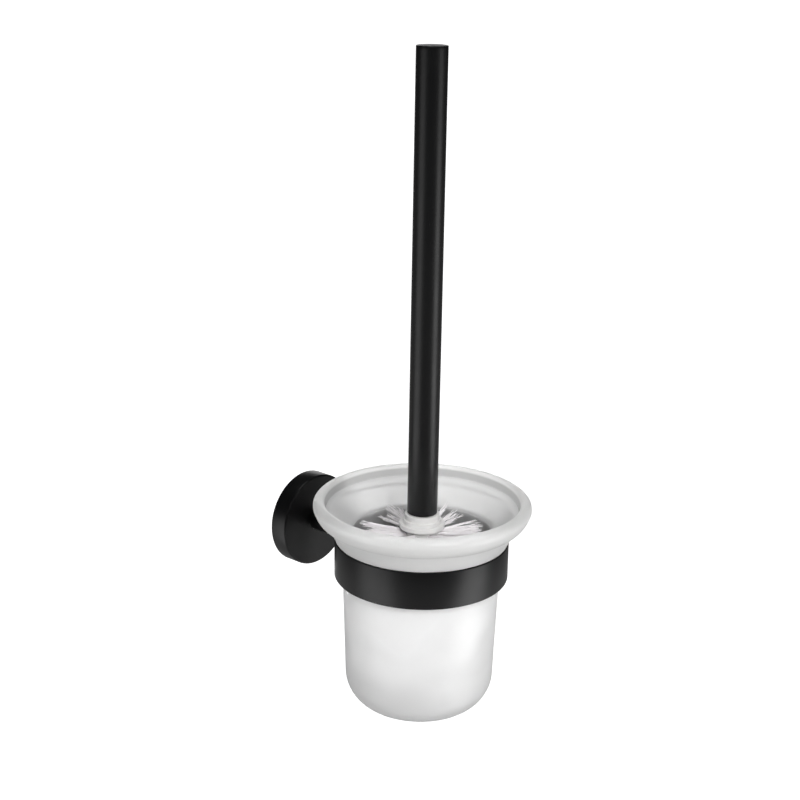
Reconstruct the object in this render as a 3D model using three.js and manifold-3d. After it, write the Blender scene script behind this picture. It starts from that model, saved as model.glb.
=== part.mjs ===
// A wall-mounted toilet brush set. A rosette, an arm and a ring hold a frosted glass bowl, and a brush
// with a tubular handle and a screw-on head stands in the bowl. Millimetres, +Z up. The wall is the plane
// y = 0, the origin is the centre of the rosette's back, and the set reaches out from the wall along -Y.
import * as THREE from "three";
import { mergeVertices } from "three/addons/utils/BufferGeometryUtils.js";
import Module from "manifold-3d";

const wasm = await Module();
wasm.setup();

// ---- Driving dimensions ----

// Clearances
const SEAT = 0.3; // between two faces that rest on each other or are clamped together
const SHANK_PLAY = 0.3; // round a screw, spigot or plug, on the radius
const RECESS = 0.3; // how far a screw lies below the surface it is sunk in

// Rosette, which covers the wall bracket
const ROSETTE_RADIUS = 28.1;
const ROSETTE_DEPTH = 11.3;
const ROSETTE_WALL = 3;
const ROSETTE_FACE = 3; // thickness of the front
const ROSETTE_CHAMFER = 0.8;

// Wall bracket, a shallow dish with a grooved rim
const BRACKET_PLAY = 0.5; // between its rim and the rosette, on the radius
const BRACKET_PLATE = 3;
const BRACKET_RIM = 2.5; // thickness of the rim
const BRACKET_HEIGHT = 6.5;
const GROOVE_DEPTH = 1.2; // the V groove that the set screw bites into
const GROOVE_FROM_WALL = 4.6;
const SCREW_TO_RIM = 4.3; // between a wall screw's head and the rim
const WALL_SCREW_RADIUS = 2;
const WALL_SCREW_LENGTH = 16; // under the head
const WALL_SCREW_HEAD_RADIUS = 3.8;
const WALL_SCREW_HEAD = 2.4;
const WALL_SLOT = 7; // length of the bracket's slot, end to end

// Set screw in the rosette's underside
const SET_SCREW_RADIUS = 2;
const SET_SCREW_POINT = 1.4; // length of its cone
const SET_SCREW_KEY = 1; // half the width of its hexagon socket

// Arm, with a bolt at the rosette and a countersunk screw at the ring
const CUP_REACH = 94; // wall to the axis of the bowl
const ARM_RADIUS = 6;
const ARM_BOLT_RADIUS = 3;
const ARM_BOLT_THREAD = 11; // length of thread in the arm
const ARM_BOLT_HEAD_RADIUS = 5;
const ARM_BOLT_HEAD = 2.6;
const ARM_WASHER_RADIUS = 6;
const ARM_WASHER = 1;
const ARM_BOLT_KEY = 2; // half the width of its hexagon socket
const RING_SCREW_RADIUS = 2.5;
const RING_SCREW_THREAD = 10; // length of thread in the arm
const RING_SCREW_HEAD_RADIUS = 4.4;
const RING_SCREW_KEY = 1.5;
const TAP_RUNOUT = 1; // how much deeper a tapped hole is than its screw

// Ring
const RING_RADIUS = 50;
const RING_WALL = 3;
const RING_HEIGHT = 22;
const RING_TOP = 11.9; // height of the top edge over the arm's axis
const RING_CHAMFER = 0.4;

// Glass bowl. Its heights are over the ring's top edge, which its shoulder rests on.
const BOWL_PLAY = 1.8; // between the body and the ring, on the radius
const BOWL_DRAFT = 2; // how much the body narrows from the ring to the foot
const BOWL_WALL = 4.8;
const BOWL_FLOOR = 5;
const BOWL_DEPTH = 103; // from the ring's top edge down to the foot
const BOWL_CORNER = 20; // outer radius between body and foot
const NECK_INSET = 0.3; // how far the neck's foot lies inside the ring's outer face
const CREASE_OUT = 4.6; // the crease between neck and flare, out from the neck's foot
const CREASE_UP = 10.6;
const LIP_OVERHANG = 12.3; // of the lip over the ring's outer face
const LIP_TOP = 24;
const LIP_FACE = 1.2; // height of the lip's upright outer face
const LIP_ROLL_IN = 4.5; // how far the lip's crown lies inside its outer face
const LIP_ROLL_UP = 3.6; // how far the crown lies over that face
const LIP_LAND = 6.5; // width of the lip's top
const LIP_SLOPE = 1.6; // how far the lip's top falls towards the inside
const LIP_DROP = 4.6; // height of the upright wall inside the lip
const FUNNEL_FOOT = 3.4; // height at which the funnel meets the body's inside

// Handle
const TUBE_RADIUS = 8.6;
const TUBE_WALL = 1.2;
const TUBE_FOOT = 15.8; // height of the tube's lower end over the ring's top edge
const HANDLE_LENGTH = 260.8;
const CAP_THICKNESS = 1.6;
const CAP_CHAMFER = 0.5;
const CAP_PLUG = 7;
const INSERT_LENGTH = 22;
const INSERT_BLIND = 4; // solid end of the threaded insert

// Brush head
const SPIGOT_RADIUS = 4;
const SPIGOT_LENGTH = 14;
const COLLAR_OVERHANGS = [1.3, 2.3, 4.4]; // of the three steps past the tube, from the tube downwards
const COLLAR_HEIGHTS = [3.2, 2.4, 2.6];
const CORE_RADIUS = 9;
const CORE_CHAMFER = 1.5;
const END_TUFT_DEPTH = 18; // of the bristles below the core
const BRISTLE_PLAY = 2.4; // between the bristles and the glass, on the radius
const FLOOR_PLAY = 0.5; // between the lowest bristles and the bowl's floor
const ROW_COUNT = 8;
const TUFTS_PER_ROW = 6;
const TUFT_THICKNESS = 5;
const TUFT_ROOT = 2.4; // half width where it leaves the core
const TUFT_TURN = THREE.MathUtils.degToRad(10.6); // from +X round to the top row's first tuft
const TUFT_SPREAD = THREE.MathUtils.degToRad(15); // half angle at the tips
const ROW_MARGIN = 4.5; // from the collar and from the core's end to the outer rows
const ANCHOR_BAND = 1; // thickness of the band that joins a row's roots
const TOP_ROW_RISE = 2; // how far the uppermost tips rise over their roots
const END_ROW_FALL = 5; // how far the lowest row's tips fall below their roots

// Fineness of the round pieces
const FINE = 48;
const MEDIUM = 32;
const COARSE = 20;

const QUARTER = Math.PI / 2;

// ---- Materials ----

const powderCoat = { color: 0x1b1b1c, roughness: 0.45, metalness: 0.1 };
const zinc = { color: 0xa9abad, roughness: 0.45, metalness: 0.9 };
const steel = { color: 0xc4c6c8, roughness: 0.3, metalness: 1 };
const blackSteel = { color: 0x242425, roughness: 0.4, metalness: 0.8 };
const frostedGlass = { color: 0xe6e8e7, roughness: 0.7, metalness: 0 };
const polypropylene = { color: 0xeeedeb, roughness: 0.4, metalness: 0 };
const nylon = { color: 0xf4f1f2, roughness: 0.55, metalness: 0 };

// ---- Shaping ----

// A body turned about +Z. The outline's points are [radius, height], and it starts and ends on the axis.
function turned(outline, segments) {
  const ring = outline.concat([outline[0]]);
  let area = 0;
  for (let i = 0; i + 1 < ring.length; i++) area += ring[i][0] * ring[i + 1][1] - ring[i + 1][0] * ring[i][1];
  const upward = area > 0 ? outline : outline.slice().reverse();
  const points = upward.map(([radius, height]) => new THREE.Vector2(radius, height));
  return new THREE.LatheGeometry(points, segments).rotateX(QUARTER);
}

// The same for an outline that goes round a hollow and never meets the axis.
function turnedRing(outline, segments) {
  return turned(outline.concat([outline[0]]), segments);
}

// A plain round bar about +Z, from one height to another.
function bar(radius, from, to, segments) {
  return new THREE.CylinderGeometry(radius, radius, to - from, segments)
    .rotateX(QUARTER)
    .translate(0, 0, (from + to) / 2);
}

// Points of an arc in an outline, by its centre, radius and two angles.
function arc(centre, radius, from, to, steps) {
  return Array.from({ length: steps + 1 }, (_, i) => {
    const angle = from + ((to - from) * i) / steps;
    return [centre[0] + radius * Math.cos(angle), centre[1] + radius * Math.sin(angle)];
  });
}

// Points of a smooth curve in an outline, without its two ends.
function sweep(start, pullStart, pullEnd, end, steps) {
  const vectors = [start, pullStart, pullEnd, end].map(([x, y]) => new THREE.Vector2(x, y));
  return new THREE.CubicBezierCurve(...vectors)
    .getPoints(steps)
    .slice(1, -1)
    .map((point) => [point.x, point.y]);
}

function toSolid(geometry) {
  const plain = geometry.clone().deleteAttribute("normal").deleteAttribute("uv");
  const merged = mergeVertices(plain);
  const vertProperties = new Float32Array(merged.attributes.position.array);
  const triVerts = new Uint32Array(merged.index.array);
  return new wasm.Manifold(new wasm.Mesh({ numProp: 3, vertProperties, triVerts }));
}

function toGeometry(solid) {
  const mesh = solid.getMesh();
  const geometry = new THREE.BufferGeometry();
  geometry.setAttribute("position", new THREE.BufferAttribute(new Float32Array(mesh.vertProperties), 3));
  geometry.setIndex(new THREE.BufferAttribute(new Uint32Array(mesh.triVerts), 1));
  geometry.computeVertexNormals();
  return geometry;
}

function cut(geometry, ...tools) {
  return toGeometry(tools.reduce((solid, tool) => solid.subtract(toSolid(tool)), toSolid(geometry)));
}

// A hexagon socket, sunk from one height to another about +Z.
function hexagon(halfWidth, from, to) {
  return bar(halfWidth / Math.cos(Math.PI / 6), from, to, 6);
}

function part(name, geometry, look, group) {
  const mesh = new THREE.Mesh(geometry, new THREE.MeshStandardMaterial(look));
  mesh.name = name;
  group.add(mesh);
  return mesh;
}

// ---- Wall side ----

// In this group +Z points out of the wall and +Y points up.
const wallSide = new THREE.Group();
wallSide.rotation.x = QUARTER;

const rosetteInner = ROSETTE_RADIUS - ROSETTE_WALL;
const rosetteCavity = ROSETTE_DEPTH - ROSETTE_FACE;
const bracketRadius = rosetteInner - BRACKET_PLAY;
const rimInner = bracketRadius - BRACKET_RIM;
const grooveHalf = GROOVE_DEPTH; // a V of 90 degrees
const wallScrewOffset = rimInner - SCREW_TO_RIM - WALL_SCREW_HEAD_RADIUS; // up or down from the centre

function wallBracket() {
  const dish = turned(
    [
      [0, 0],
      [bracketRadius, 0],
      [bracketRadius, GROOVE_FROM_WALL - grooveHalf],
      [bracketRadius - GROOVE_DEPTH, GROOVE_FROM_WALL],
      [bracketRadius, GROOVE_FROM_WALL + grooveHalf],
      [bracketRadius, BRACKET_HEIGHT],
      [rimInner, BRACKET_HEIGHT],
      [rimInner, BRACKET_PLATE],
      [0, BRACKET_PLATE],
    ],
    FINE,
  );
  const holeRadius = WALL_SCREW_RADIUS + SHANK_PLAY;
  const hole = bar(holeRadius, -1, BRACKET_PLATE + 1, COARSE).translate(0, wallScrewOffset, 0);
  const halfSlot = WALL_SLOT / 2 - holeRadius;
  const slotShape = new THREE.Shape()
    .absarc(halfSlot, 0, holeRadius, -QUARTER, QUARTER, false)
    .absarc(-halfSlot, 0, holeRadius, QUARTER, 3 * QUARTER, false);
  const slotDepth = { depth: BRACKET_PLATE + 2, bevelEnabled: false, curveSegments: 8 };
  const slot = new THREE.ExtrudeGeometry(slotShape, slotDepth).translate(0, -wallScrewOffset, -1);
  return cut(dish, hole, slot);
}

// A pan-head screw with a cross recess. Its head rests on the bracket and its point goes into the wall.
function wallScrew() {
  const headFoot = BRACKET_PLATE + SEAT;
  const headTop = headFoot + WALL_SCREW_HEAD;
  const tip = headFoot - WALL_SCREW_LENGTH;
  const screw = turned(
    [
      [0, tip],
      [WALL_SCREW_RADIUS, tip + 2 * WALL_SCREW_RADIUS],
      [WALL_SCREW_RADIUS, headFoot],
      [WALL_SCREW_HEAD_RADIUS, headFoot],
      [WALL_SCREW_HEAD_RADIUS, headFoot + WALL_SCREW_HEAD / 2],
      [WALL_SCREW_HEAD_RADIUS * 0.75, headTop],
      [0, headTop],
    ],
    COARSE,
  );
  const armLength = 1.1 * WALL_SCREW_HEAD_RADIUS;
  const armWidth = 0.26 * WALL_SCREW_HEAD_RADIUS;
  const depth = 0.55 * WALL_SCREW_HEAD;
  const across = new THREE.BoxGeometry(armLength, armWidth, 2 * depth).translate(0, 0, headTop);
  const upright = new THREE.BoxGeometry(armWidth, armLength, 2 * depth).translate(0, 0, headTop);
  return cut(screw, across, upright);
}

function rosetteCover() {
  const cup = turned(
    [
      [0, ROSETTE_DEPTH],
      [ROSETTE_RADIUS - ROSETTE_CHAMFER, ROSETTE_DEPTH],
      [ROSETTE_RADIUS, ROSETTE_DEPTH - ROSETTE_CHAMFER],
      [ROSETTE_RADIUS, 0],
      [rosetteInner, 0],
      [rosetteInner, rosetteCavity],
      [0, rosetteCavity],
    ],
    FINE,
  );
  const boltHole = bar(ARM_BOLT_RADIUS + SHANK_PLAY, rosetteCavity - 1, ROSETTE_DEPTH + 1, COARSE);
  const tapHole = bar(SET_SCREW_RADIUS + SHANK_PLAY, rosetteInner - 1, ROSETTE_RADIUS + 1, COARSE);
  tapHole.rotateX(QUARTER).translate(0, 0, GROOVE_FROM_WALL);
  return cut(cup, boltHole, tapHole);
}

// A headless screw with a cone point. It lies along -Y, socket outwards, and its point enters the groove.
function setScrew() {
  const outerEnd = ROSETTE_RADIUS - RECESS - 0.4;
  const point = bracketRadius - GROOVE_DEPTH + SEAT * Math.SQRT2;
  const screw = turned(
    [
      [0, point],
      [SET_SCREW_RADIUS * 0.5, point + SET_SCREW_POINT * 0.5],
      [SET_SCREW_RADIUS, point + SET_SCREW_POINT + SET_SCREW_RADIUS * 0.3],
      [SET_SCREW_RADIUS, outerEnd],
      [0, outerEnd],
    ],
    COARSE,
  );
  return cut(screw, hexagon(SET_SCREW_KEY, outerEnd - 1.2, outerEnd + 1))
    .rotateX(QUARTER)
    .translate(0, 0, GROOVE_FROM_WALL);
}

// The bolt's parts, in order from the rosette's inside towards the wall
const washerFront = rosetteCavity - SEAT;
const washerBack = washerFront - ARM_WASHER;
const boltHeadFront = washerBack - SEAT;
const boltHeadBack = boltHeadFront - ARM_BOLT_HEAD;
const armBack = ROSETTE_DEPTH + SEAT;
const ringBack = CUP_REACH - RING_RADIUS; // distance from the wall to the ring's nearest point

function armWasher() {
  return turnedRing(
    [
      [ARM_BOLT_RADIUS + SHANK_PLAY, washerBack],
      [ARM_WASHER_RADIUS, washerBack],
      [ARM_WASHER_RADIUS, washerFront],
      [ARM_BOLT_RADIUS + SHANK_PLAY, washerFront],
    ],
    COARSE,
  );
}

function armBolt() {
  const shankEnd = armBack + ARM_BOLT_THREAD;
  const bolt = turned(
    [
      [0, boltHeadBack],
      [ARM_BOLT_HEAD_RADIUS - 0.5, boltHeadBack],
      [ARM_BOLT_HEAD_RADIUS, boltHeadBack + 0.5],
      [ARM_BOLT_HEAD_RADIUS, boltHeadFront],
      [ARM_BOLT_RADIUS, boltHeadFront],
      [ARM_BOLT_RADIUS, shankEnd - 0.8],
      [ARM_BOLT_RADIUS - 0.8, shankEnd],
      [0, shankEnd],
    ],
    COARSE,
  );
  return cut(bolt, hexagon(ARM_BOLT_KEY, boltHeadBack - 1, boltHeadBack + 0.6 * ARM_BOLT_HEAD));
}

// A round bar, saddled to the ring at its far end, and tapped at both ends.
function armPost() {
  const post = bar(ARM_RADIUS, armBack, ringBack + ARM_RADIUS, MEDIUM);
  const saddleRadius = RING_RADIUS + SEAT;
  const saddle = new THREE.CylinderGeometry(saddleRadius, saddleRadius, 4 * ARM_RADIUS, 2 * FINE);
  saddle.translate(0, 0, CUP_REACH);
  const boltTapEnd = armBack + ARM_BOLT_THREAD + TAP_RUNOUT;
  const boltTap = bar(ARM_BOLT_RADIUS + SHANK_PLAY, armBack - 1, boltTapEnd, COARSE);
  const screwTapEnd = ringBack - SEAT - RING_SCREW_THREAD - TAP_RUNOUT;
  const screwTap = bar(RING_SCREW_RADIUS + SHANK_PLAY, screwTapEnd, CUP_REACH, COARSE);
  return cut(post, saddle, boltTap, screwTap);
}

// A countersunk screw, driven from inside the ring. Its cone ends where the ring's wall does.
const ringScrewHead = ringBack + RING_WALL - RECESS;
const ringScrewCone = ringScrewHead - (RING_SCREW_HEAD_RADIUS - RING_SCREW_RADIUS);

function ringScrew() {
  const end = ringBack - SEAT - RING_SCREW_THREAD;
  const screw = turned(
    [
      [0, end],
      [RING_SCREW_RADIUS - 0.8, end],
      [RING_SCREW_RADIUS, end + 0.8],
      [RING_SCREW_RADIUS, ringScrewCone],
      [RING_SCREW_HEAD_RADIUS, ringScrewHead],
      [0, ringScrewHead],
    ],
    COARSE,
  );
  return cut(screw, hexagon(RING_SCREW_KEY, ringScrewHead - 1.5, ringScrewHead + 1));
}

part("wall_bracket", wallBracket(), zinc, wallSide);
for (const [place, side] of [["upper", 1], ["lower", -1]]) {
  part(`wall_screw_${place}`, wallScrew(), steel, wallSide).position.y = side * wallScrewOffset;
}
part("rosette_cover", rosetteCover(), powderCoat, wallSide);
part("rosette_set_screw", setScrew(), blackSteel, wallSide);
part("arm_washer", armWasher(), steel, wallSide);
part("arm_bolt", armBolt(), steel, wallSide);
part("arm_post", armPost(), powderCoat, wallSide);
part("ring_screw", ringScrew(), blackSteel, wallSide);

// ---- Ring, bowl and brush, all about the bowl's axis ----

// In this group +Z is up and the ring's top edge is at height 0.
const cupSide = new THREE.Group();
cupSide.position.set(0, -CUP_REACH, RING_TOP);

const ringInner = RING_RADIUS - RING_WALL;

function holderRing() {
  const hoop = turnedRing(
    [
      [ringInner + RING_CHAMFER, -RING_HEIGHT],
      [RING_RADIUS - RING_CHAMFER, -RING_HEIGHT],
      [RING_RADIUS, -RING_HEIGHT + RING_CHAMFER],
      [RING_RADIUS, -RING_CHAMFER],
      [RING_RADIUS - RING_CHAMFER, 0],
      [ringInner + RING_CHAMFER, 0],
      [ringInner, -RING_CHAMFER],
      [ringInner, -RING_HEIGHT + RING_CHAMFER],
    ],
    2 * FINE,
  );
  // The countersink runs on at its own slope past the ring's inner face.
  const screwHole = RING_SCREW_RADIUS + SHANK_PLAY;
  const headHole = RING_SCREW_HEAD_RADIUS + SHANK_PLAY;
  const runOut = 2;
  const countersink = turned(
    [
      [0, -RING_RADIUS - 1],
      [screwHole, -RING_RADIUS - 1],
      [screwHole, ringScrewCone - CUP_REACH],
      [headHole, ringScrewHead - CUP_REACH],
      [headHole + runOut, ringScrewHead - CUP_REACH + runOut],
      [0, ringScrewHead - CUP_REACH + runOut],
    ],
    COARSE,
  );
  return cut(hoop, countersink.rotateX(QUARTER).translate(0, 0, -RING_TOP));
}

const bodyRadius = ringInner - BOWL_PLAY;
const footRadius = bodyRadius - BOWL_DRAFT;
const boreRadius = bodyRadius - BOWL_WALL;
const innerFootRadius = footRadius - BOWL_WALL;
const floorTop = -BOWL_DEPTH + BOWL_FLOOR;
const innerCorner = BOWL_CORNER - BOWL_WALL;

// Pressed glass with a tapering body, a shoulder that hangs on the ring, a neck, and a flared lip.
function glassBowl() {
  const neck = [RING_RADIUS - NECK_INSET, SEAT];
  const crease = [neck[0] + CREASE_OUT, CREASE_UP];
  const lipRadius = RING_RADIUS + LIP_OVERHANG;
  const lipShoulder = [lipRadius, LIP_TOP - LIP_ROLL_UP];
  const lipFoot = [lipRadius, lipShoulder[1] - LIP_FACE];
  const lipInner = [lipRadius - LIP_LAND, LIP_TOP - LIP_SLOPE];
  const dropFoot = [lipInner[0] - 1, lipInner[1] - LIP_DROP];
  const funnelFoot = [boreRadius, FUNNEL_FOOT];
  const lipCrown = [lipRadius - LIP_ROLL_IN, LIP_TOP];
  // Where each curve pulls as it leaves one end and meets the other
  const neckPull = [neck[0] + 1.6, CREASE_UP * 0.4];
  const creasePull = [crease[0] - 1.2, CREASE_UP * 0.75];
  const flarePull = [crease[0] + 0.6 * (lipFoot[0] - crease[0]), crease[1] + 1.2];
  const lipFootPull = [lipFoot[0] - 1.6, crease[1] + 4];
  const shoulderPull = [lipRadius, LIP_TOP - 0.4 * LIP_ROLL_UP];
  const crownPull = [lipRadius - 0.45 * LIP_ROLL_IN, LIP_TOP];
  const funnelRun = dropFoot[0] - funnelFoot[0];
  const funnelFall = dropFoot[1] - funnelFoot[1];
  const dropPull = [dropFoot[0] - 0.35 * funnelRun, dropFoot[1] - 0.12 * funnelFall];
  const funnelPull = [funnelFoot[0] + 0.42 * funnelRun, funnelFoot[1] + 0.62 * funnelFall];
  return turned(
    [
      [0, -BOWL_DEPTH],
      ...arc([footRadius - BOWL_CORNER, -BOWL_DEPTH + BOWL_CORNER], BOWL_CORNER, -QUARTER, 0, 6),
      [bodyRadius, -RING_HEIGHT],
      [bodyRadius, SEAT],
      [neck[0] - 0.6, neck[1]],
      [neck[0], neck[1] + 0.6],
      ...sweep(neck, neckPull, creasePull, crease, 4),
      crease,
      ...sweep(crease, flarePull, lipFootPull, lipFoot, 6),
      lipFoot,
      lipShoulder,
      ...sweep(lipShoulder, shoulderPull, crownPull, lipCrown, 4),
      lipCrown,
      ...sweep(lipCrown, [lipInner[0] + 1, LIP_TOP], [lipInner[0] + 0.3, lipInner[1] + 1], lipInner, 3),
      lipInner,
      dropFoot,
      ...sweep(dropFoot, dropPull, funnelPull, funnelFoot, 6),
      funnelFoot,
      ...arc([innerFootRadius - innerCorner, floorTop + innerCorner], innerCorner, 0, -QUARTER, 5),
      [0, floorTop],
    ],
    FINE,
  );
}

const tubeBore = TUBE_RADIUS - TUBE_WALL;
const tubeTop = TUBE_FOOT + HANDLE_LENGTH - CAP_THICKNESS - SEAT;
const plugRadius = tubeBore - SHANK_PLAY;

function handleTube() {
  return turnedRing(
    [
      [tubeBore, TUBE_FOOT],
      [TUBE_RADIUS, TUBE_FOOT],
      [TUBE_RADIUS, tubeTop],
      [tubeBore, tubeTop],
    ],
    MEDIUM,
  );
}

function handleCap() {
  const top = TUBE_FOOT + HANDLE_LENGTH;
  return turned(
    [
      [0, tubeTop - CAP_PLUG],
      [plugRadius, tubeTop - CAP_PLUG],
      [plugRadius, top - CAP_THICKNESS],
      [TUBE_RADIUS, top - CAP_THICKNESS],
      [TUBE_RADIUS, top - CAP_CHAMFER],
      [TUBE_RADIUS - CAP_CHAMFER, top],
      [0, top],
    ],
    MEDIUM,
  );
}

const insertFoot = TUBE_FOOT + SEAT;
const spigotBore = SPIGOT_RADIUS + SHANK_PLAY;

// A threaded bush, pressed into the tube's lower end and closed at its top.
function handleInsert() {
  return turned(
    [
      [0, insertFoot + INSERT_LENGTH],
      [plugRadius, insertFoot + INSERT_LENGTH],
      [plugRadius, insertFoot],
      [spigotBore, insertFoot],
      [spigotBore, insertFoot + INSERT_LENGTH - INSERT_BLIND],
      [0, insertFoot + INSERT_LENGTH - INSERT_BLIND],
    ],
    COARSE,
  );
}

const collarTop = TUBE_FOOT - SEAT;
const collarFoot = collarTop - COLLAR_HEIGHTS.reduce((sum, height) => sum + height, 0);
const bristleFoot = floorTop + FLOOR_PLAY;
const coreFoot = bristleFoot + END_TUFT_DEPTH;

// One moulding: threaded spigot, stepped collar and the core that holds the tufts.
function brushHub() {
  const outline = [
    [0, collarTop + SPIGOT_LENGTH],
    [SPIGOT_RADIUS - 1, collarTop + SPIGOT_LENGTH],
    [SPIGOT_RADIUS, collarTop + SPIGOT_LENGTH - 1],
    [SPIGOT_RADIUS, collarTop],
  ];
  let height = collarTop;
  COLLAR_OVERHANGS.forEach((overhang, i) => {
    const radius = TUBE_RADIUS + overhang;
    outline.push([radius - 0.4, height], [radius, height - 0.4]);
    height -= COLLAR_HEIGHTS[i];
    outline.push([radius, height]);
  });
  outline.push(
    [CORE_RADIUS, height],
    [CORE_RADIUS, coreFoot + CORE_CHAMFER],
    [CORE_RADIUS - CORE_CHAMFER, coreFoot],
    [0, coreFoot],
  );
  return turned(outline, MEDIUM);
}

const bandInner = CORE_RADIUS + SEAT;
const bandOuter = bandInner + ANCHOR_BAND;
const bristleRadius = innerFootRadius - BRISTLE_PLAY;
const rowSpan = collarFoot - coreFoot - 2 * ROW_MARGIN;

// A row of tufts round the core, joined at their roots, each a flat fan. Every other row is turned by
// half a tuft, and the tips of the outer rows rise or fall.
function bristleRow(index) {
  const step = (4 * QUARTER) / TUFTS_PER_ROW;
  const offset = TUFT_TURN + (index % 2 ? step / 2 : 0);
  const rootAngle = Math.asin(TUFT_ROOT / bandOuter);
  const outline = [];
  for (let tuft = 0; tuft < TUFTS_PER_ROW; tuft++) {
    const middle = tuft * step + offset;
    outline.push(...arc([0, 0], bristleRadius, middle - TUFT_SPREAD, middle + TUFT_SPREAD, 4));
    outline.push(...arc([0, 0], bandOuter, middle + rootAngle, middle + step - rootAngle, 2));
  }
  const shape = new THREE.Shape(outline.map(([x, y]) => new THREE.Vector2(x, y)));
  const hole = arc([0, 0], bandInner, 4 * QUARTER, 0, COARSE).slice(1);
  shape.holes.push(new THREE.Path(hole.map(([x, y]) => new THREE.Vector2(x, y))));
  const settings = { depth: TUFT_THICKNESS, bevelEnabled: false };
  const geometry = new THREE.ExtrudeGeometry(shape, settings).translate(0, 0, -TUFT_THICKNESS / 2);
  const lean = index === 0 ? TOP_ROW_RISE : index === ROW_COUNT - 1 ? -END_ROW_FALL : 0;
  const position = geometry.attributes.position;
  for (let i = 0; i < position.count; i++) {
    const out = Math.hypot(position.getX(i), position.getY(i)) - bandInner;
    position.setZ(i, position.getZ(i) + (lean * out) / (bristleRadius - bandInner));
  }
  const height = collarFoot - ROW_MARGIN - (rowSpan * index) / (ROW_COUNT - 1);
  return geometry.translate(0, 0, height);
}

// The tufts in the core's end, which spread into a round pad.
function bristleEnd() {
  const top = coreFoot - SEAT;
  return turned(
    [
      [0, top],
      [CORE_RADIUS - CORE_CHAMFER, top],
      [innerFootRadius - innerCorner + 3, top - 0.5 * END_TUFT_DEPTH],
      [innerFootRadius - innerCorner + 2, bristleFoot + 0.14 * END_TUFT_DEPTH],
      [innerFootRadius - innerCorner - 3, bristleFoot],
      [0, bristleFoot],
    ],
    COARSE,
  );
}

part("holder_ring", holderRing(), powderCoat, cupSide);
part("glass_bowl", glassBowl(), frostedGlass, cupSide);
part("handle_tube", handleTube(), powderCoat, cupSide);
part("handle_cap", handleCap(), powderCoat, cupSide);
part("handle_insert", handleInsert(), polypropylene, cupSide);
part("brush_hub", brushHub(), polypropylene, cupSide);
for (let index = 0; index < ROW_COUNT; index++) {
  part(`bristle_row_${index + 1}`, bristleRow(index), nylon, cupSide);
}
part("bristle_end", bristleEnd(), nylon, cupSide);

const brushSet = new THREE.Group();
brushSet.add(wallSide, cupSide);

export default brushSet;
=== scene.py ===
import math
import random

import bmesh
import bpy
from mathutils import Matrix, Vector
from mathutils.geometry import interpolate_bezier


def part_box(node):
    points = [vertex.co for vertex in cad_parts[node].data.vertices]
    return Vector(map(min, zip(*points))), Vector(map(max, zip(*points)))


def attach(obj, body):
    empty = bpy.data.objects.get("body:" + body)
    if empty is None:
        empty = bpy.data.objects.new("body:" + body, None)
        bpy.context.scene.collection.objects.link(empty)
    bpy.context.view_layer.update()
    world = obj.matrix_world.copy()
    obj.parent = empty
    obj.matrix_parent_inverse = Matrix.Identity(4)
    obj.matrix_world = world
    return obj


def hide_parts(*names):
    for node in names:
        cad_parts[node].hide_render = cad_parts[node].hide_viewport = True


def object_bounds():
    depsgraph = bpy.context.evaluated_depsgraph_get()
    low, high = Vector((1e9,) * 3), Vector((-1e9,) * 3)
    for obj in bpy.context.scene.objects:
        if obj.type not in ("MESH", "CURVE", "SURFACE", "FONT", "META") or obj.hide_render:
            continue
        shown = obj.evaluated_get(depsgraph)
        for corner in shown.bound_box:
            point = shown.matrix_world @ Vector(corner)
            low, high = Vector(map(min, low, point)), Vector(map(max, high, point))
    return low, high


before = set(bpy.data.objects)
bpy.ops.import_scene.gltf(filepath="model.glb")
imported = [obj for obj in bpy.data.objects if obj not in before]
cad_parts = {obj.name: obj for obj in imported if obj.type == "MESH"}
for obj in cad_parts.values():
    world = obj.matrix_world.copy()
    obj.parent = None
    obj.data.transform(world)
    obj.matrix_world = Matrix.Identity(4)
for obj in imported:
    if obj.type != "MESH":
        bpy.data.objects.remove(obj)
cad_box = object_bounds()

# ---- Camera and studio ----
# The set hangs clear of a pale floor, in front of white paper. Two upright softboxes draw a soft streak down
# each side of the black parts. A high one in front and a round one overhead light the glass, and one behind
# lights the wall side.

MM = 0.001
ring_low, ring_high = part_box("holder_ring")
RING_TOP = ring_high.z
RING_RADIUS = (ring_high.x - ring_low.x) / 2
BOWL_AXIS = Vector((0, (ring_low.y + ring_high.y) / 2, RING_TOP))

CAMERA_AZIMUTH = math.radians(-50.36)
CAMERA_DISTANCE = 0.8308
CAMERA_HEIGHT = 0.3502
CAMERA_PITCH = math.radians(17.852)
CAMERA_YAW = math.radians(0.946)
CAMERA_ROLL = math.radians(0.951)
LENS = 70.45  # mm, on a sensor 36 mm wide
SENSOR = 36

camera = bpy.data.objects.new("camera", bpy.data.cameras.new("camera"))
camera.data.lens = LENS
camera.data.sensor_width = SENSOR
back = Vector((math.sin(CAMERA_AZIMUTH), -math.cos(CAMERA_AZIMUTH), 0))
camera.matrix_world = (
    Matrix.Translation(BOWL_AXIS + CAMERA_DISTANCE * back + Vector((0, 0, CAMERA_HEIGHT)))
    @ Matrix.Rotation(CAMERA_AZIMUTH + CAMERA_YAW, 4, "Z")
    @ Matrix.Rotation(math.pi / 2 - CAMERA_PITCH, 4, "X")
    @ Matrix.Rotation(CAMERA_ROLL, 4, "Z")
)
scene = bpy.context.scene
scene.collection.objects.link(camera)
scene.camera = camera
scene.view_settings.view_transform = "Standard"


def linear(code):
    """An sRGB hex colour as linear red, green, blue and alpha."""
    values = [int(code[i : i + 2], 16) / 255 for i in (1, 3, 5)]
    return [v / 12.92 if v <= 0.04045 else ((v + 0.055) / 1.055) ** 2.4 for v in values] + [1]


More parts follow.
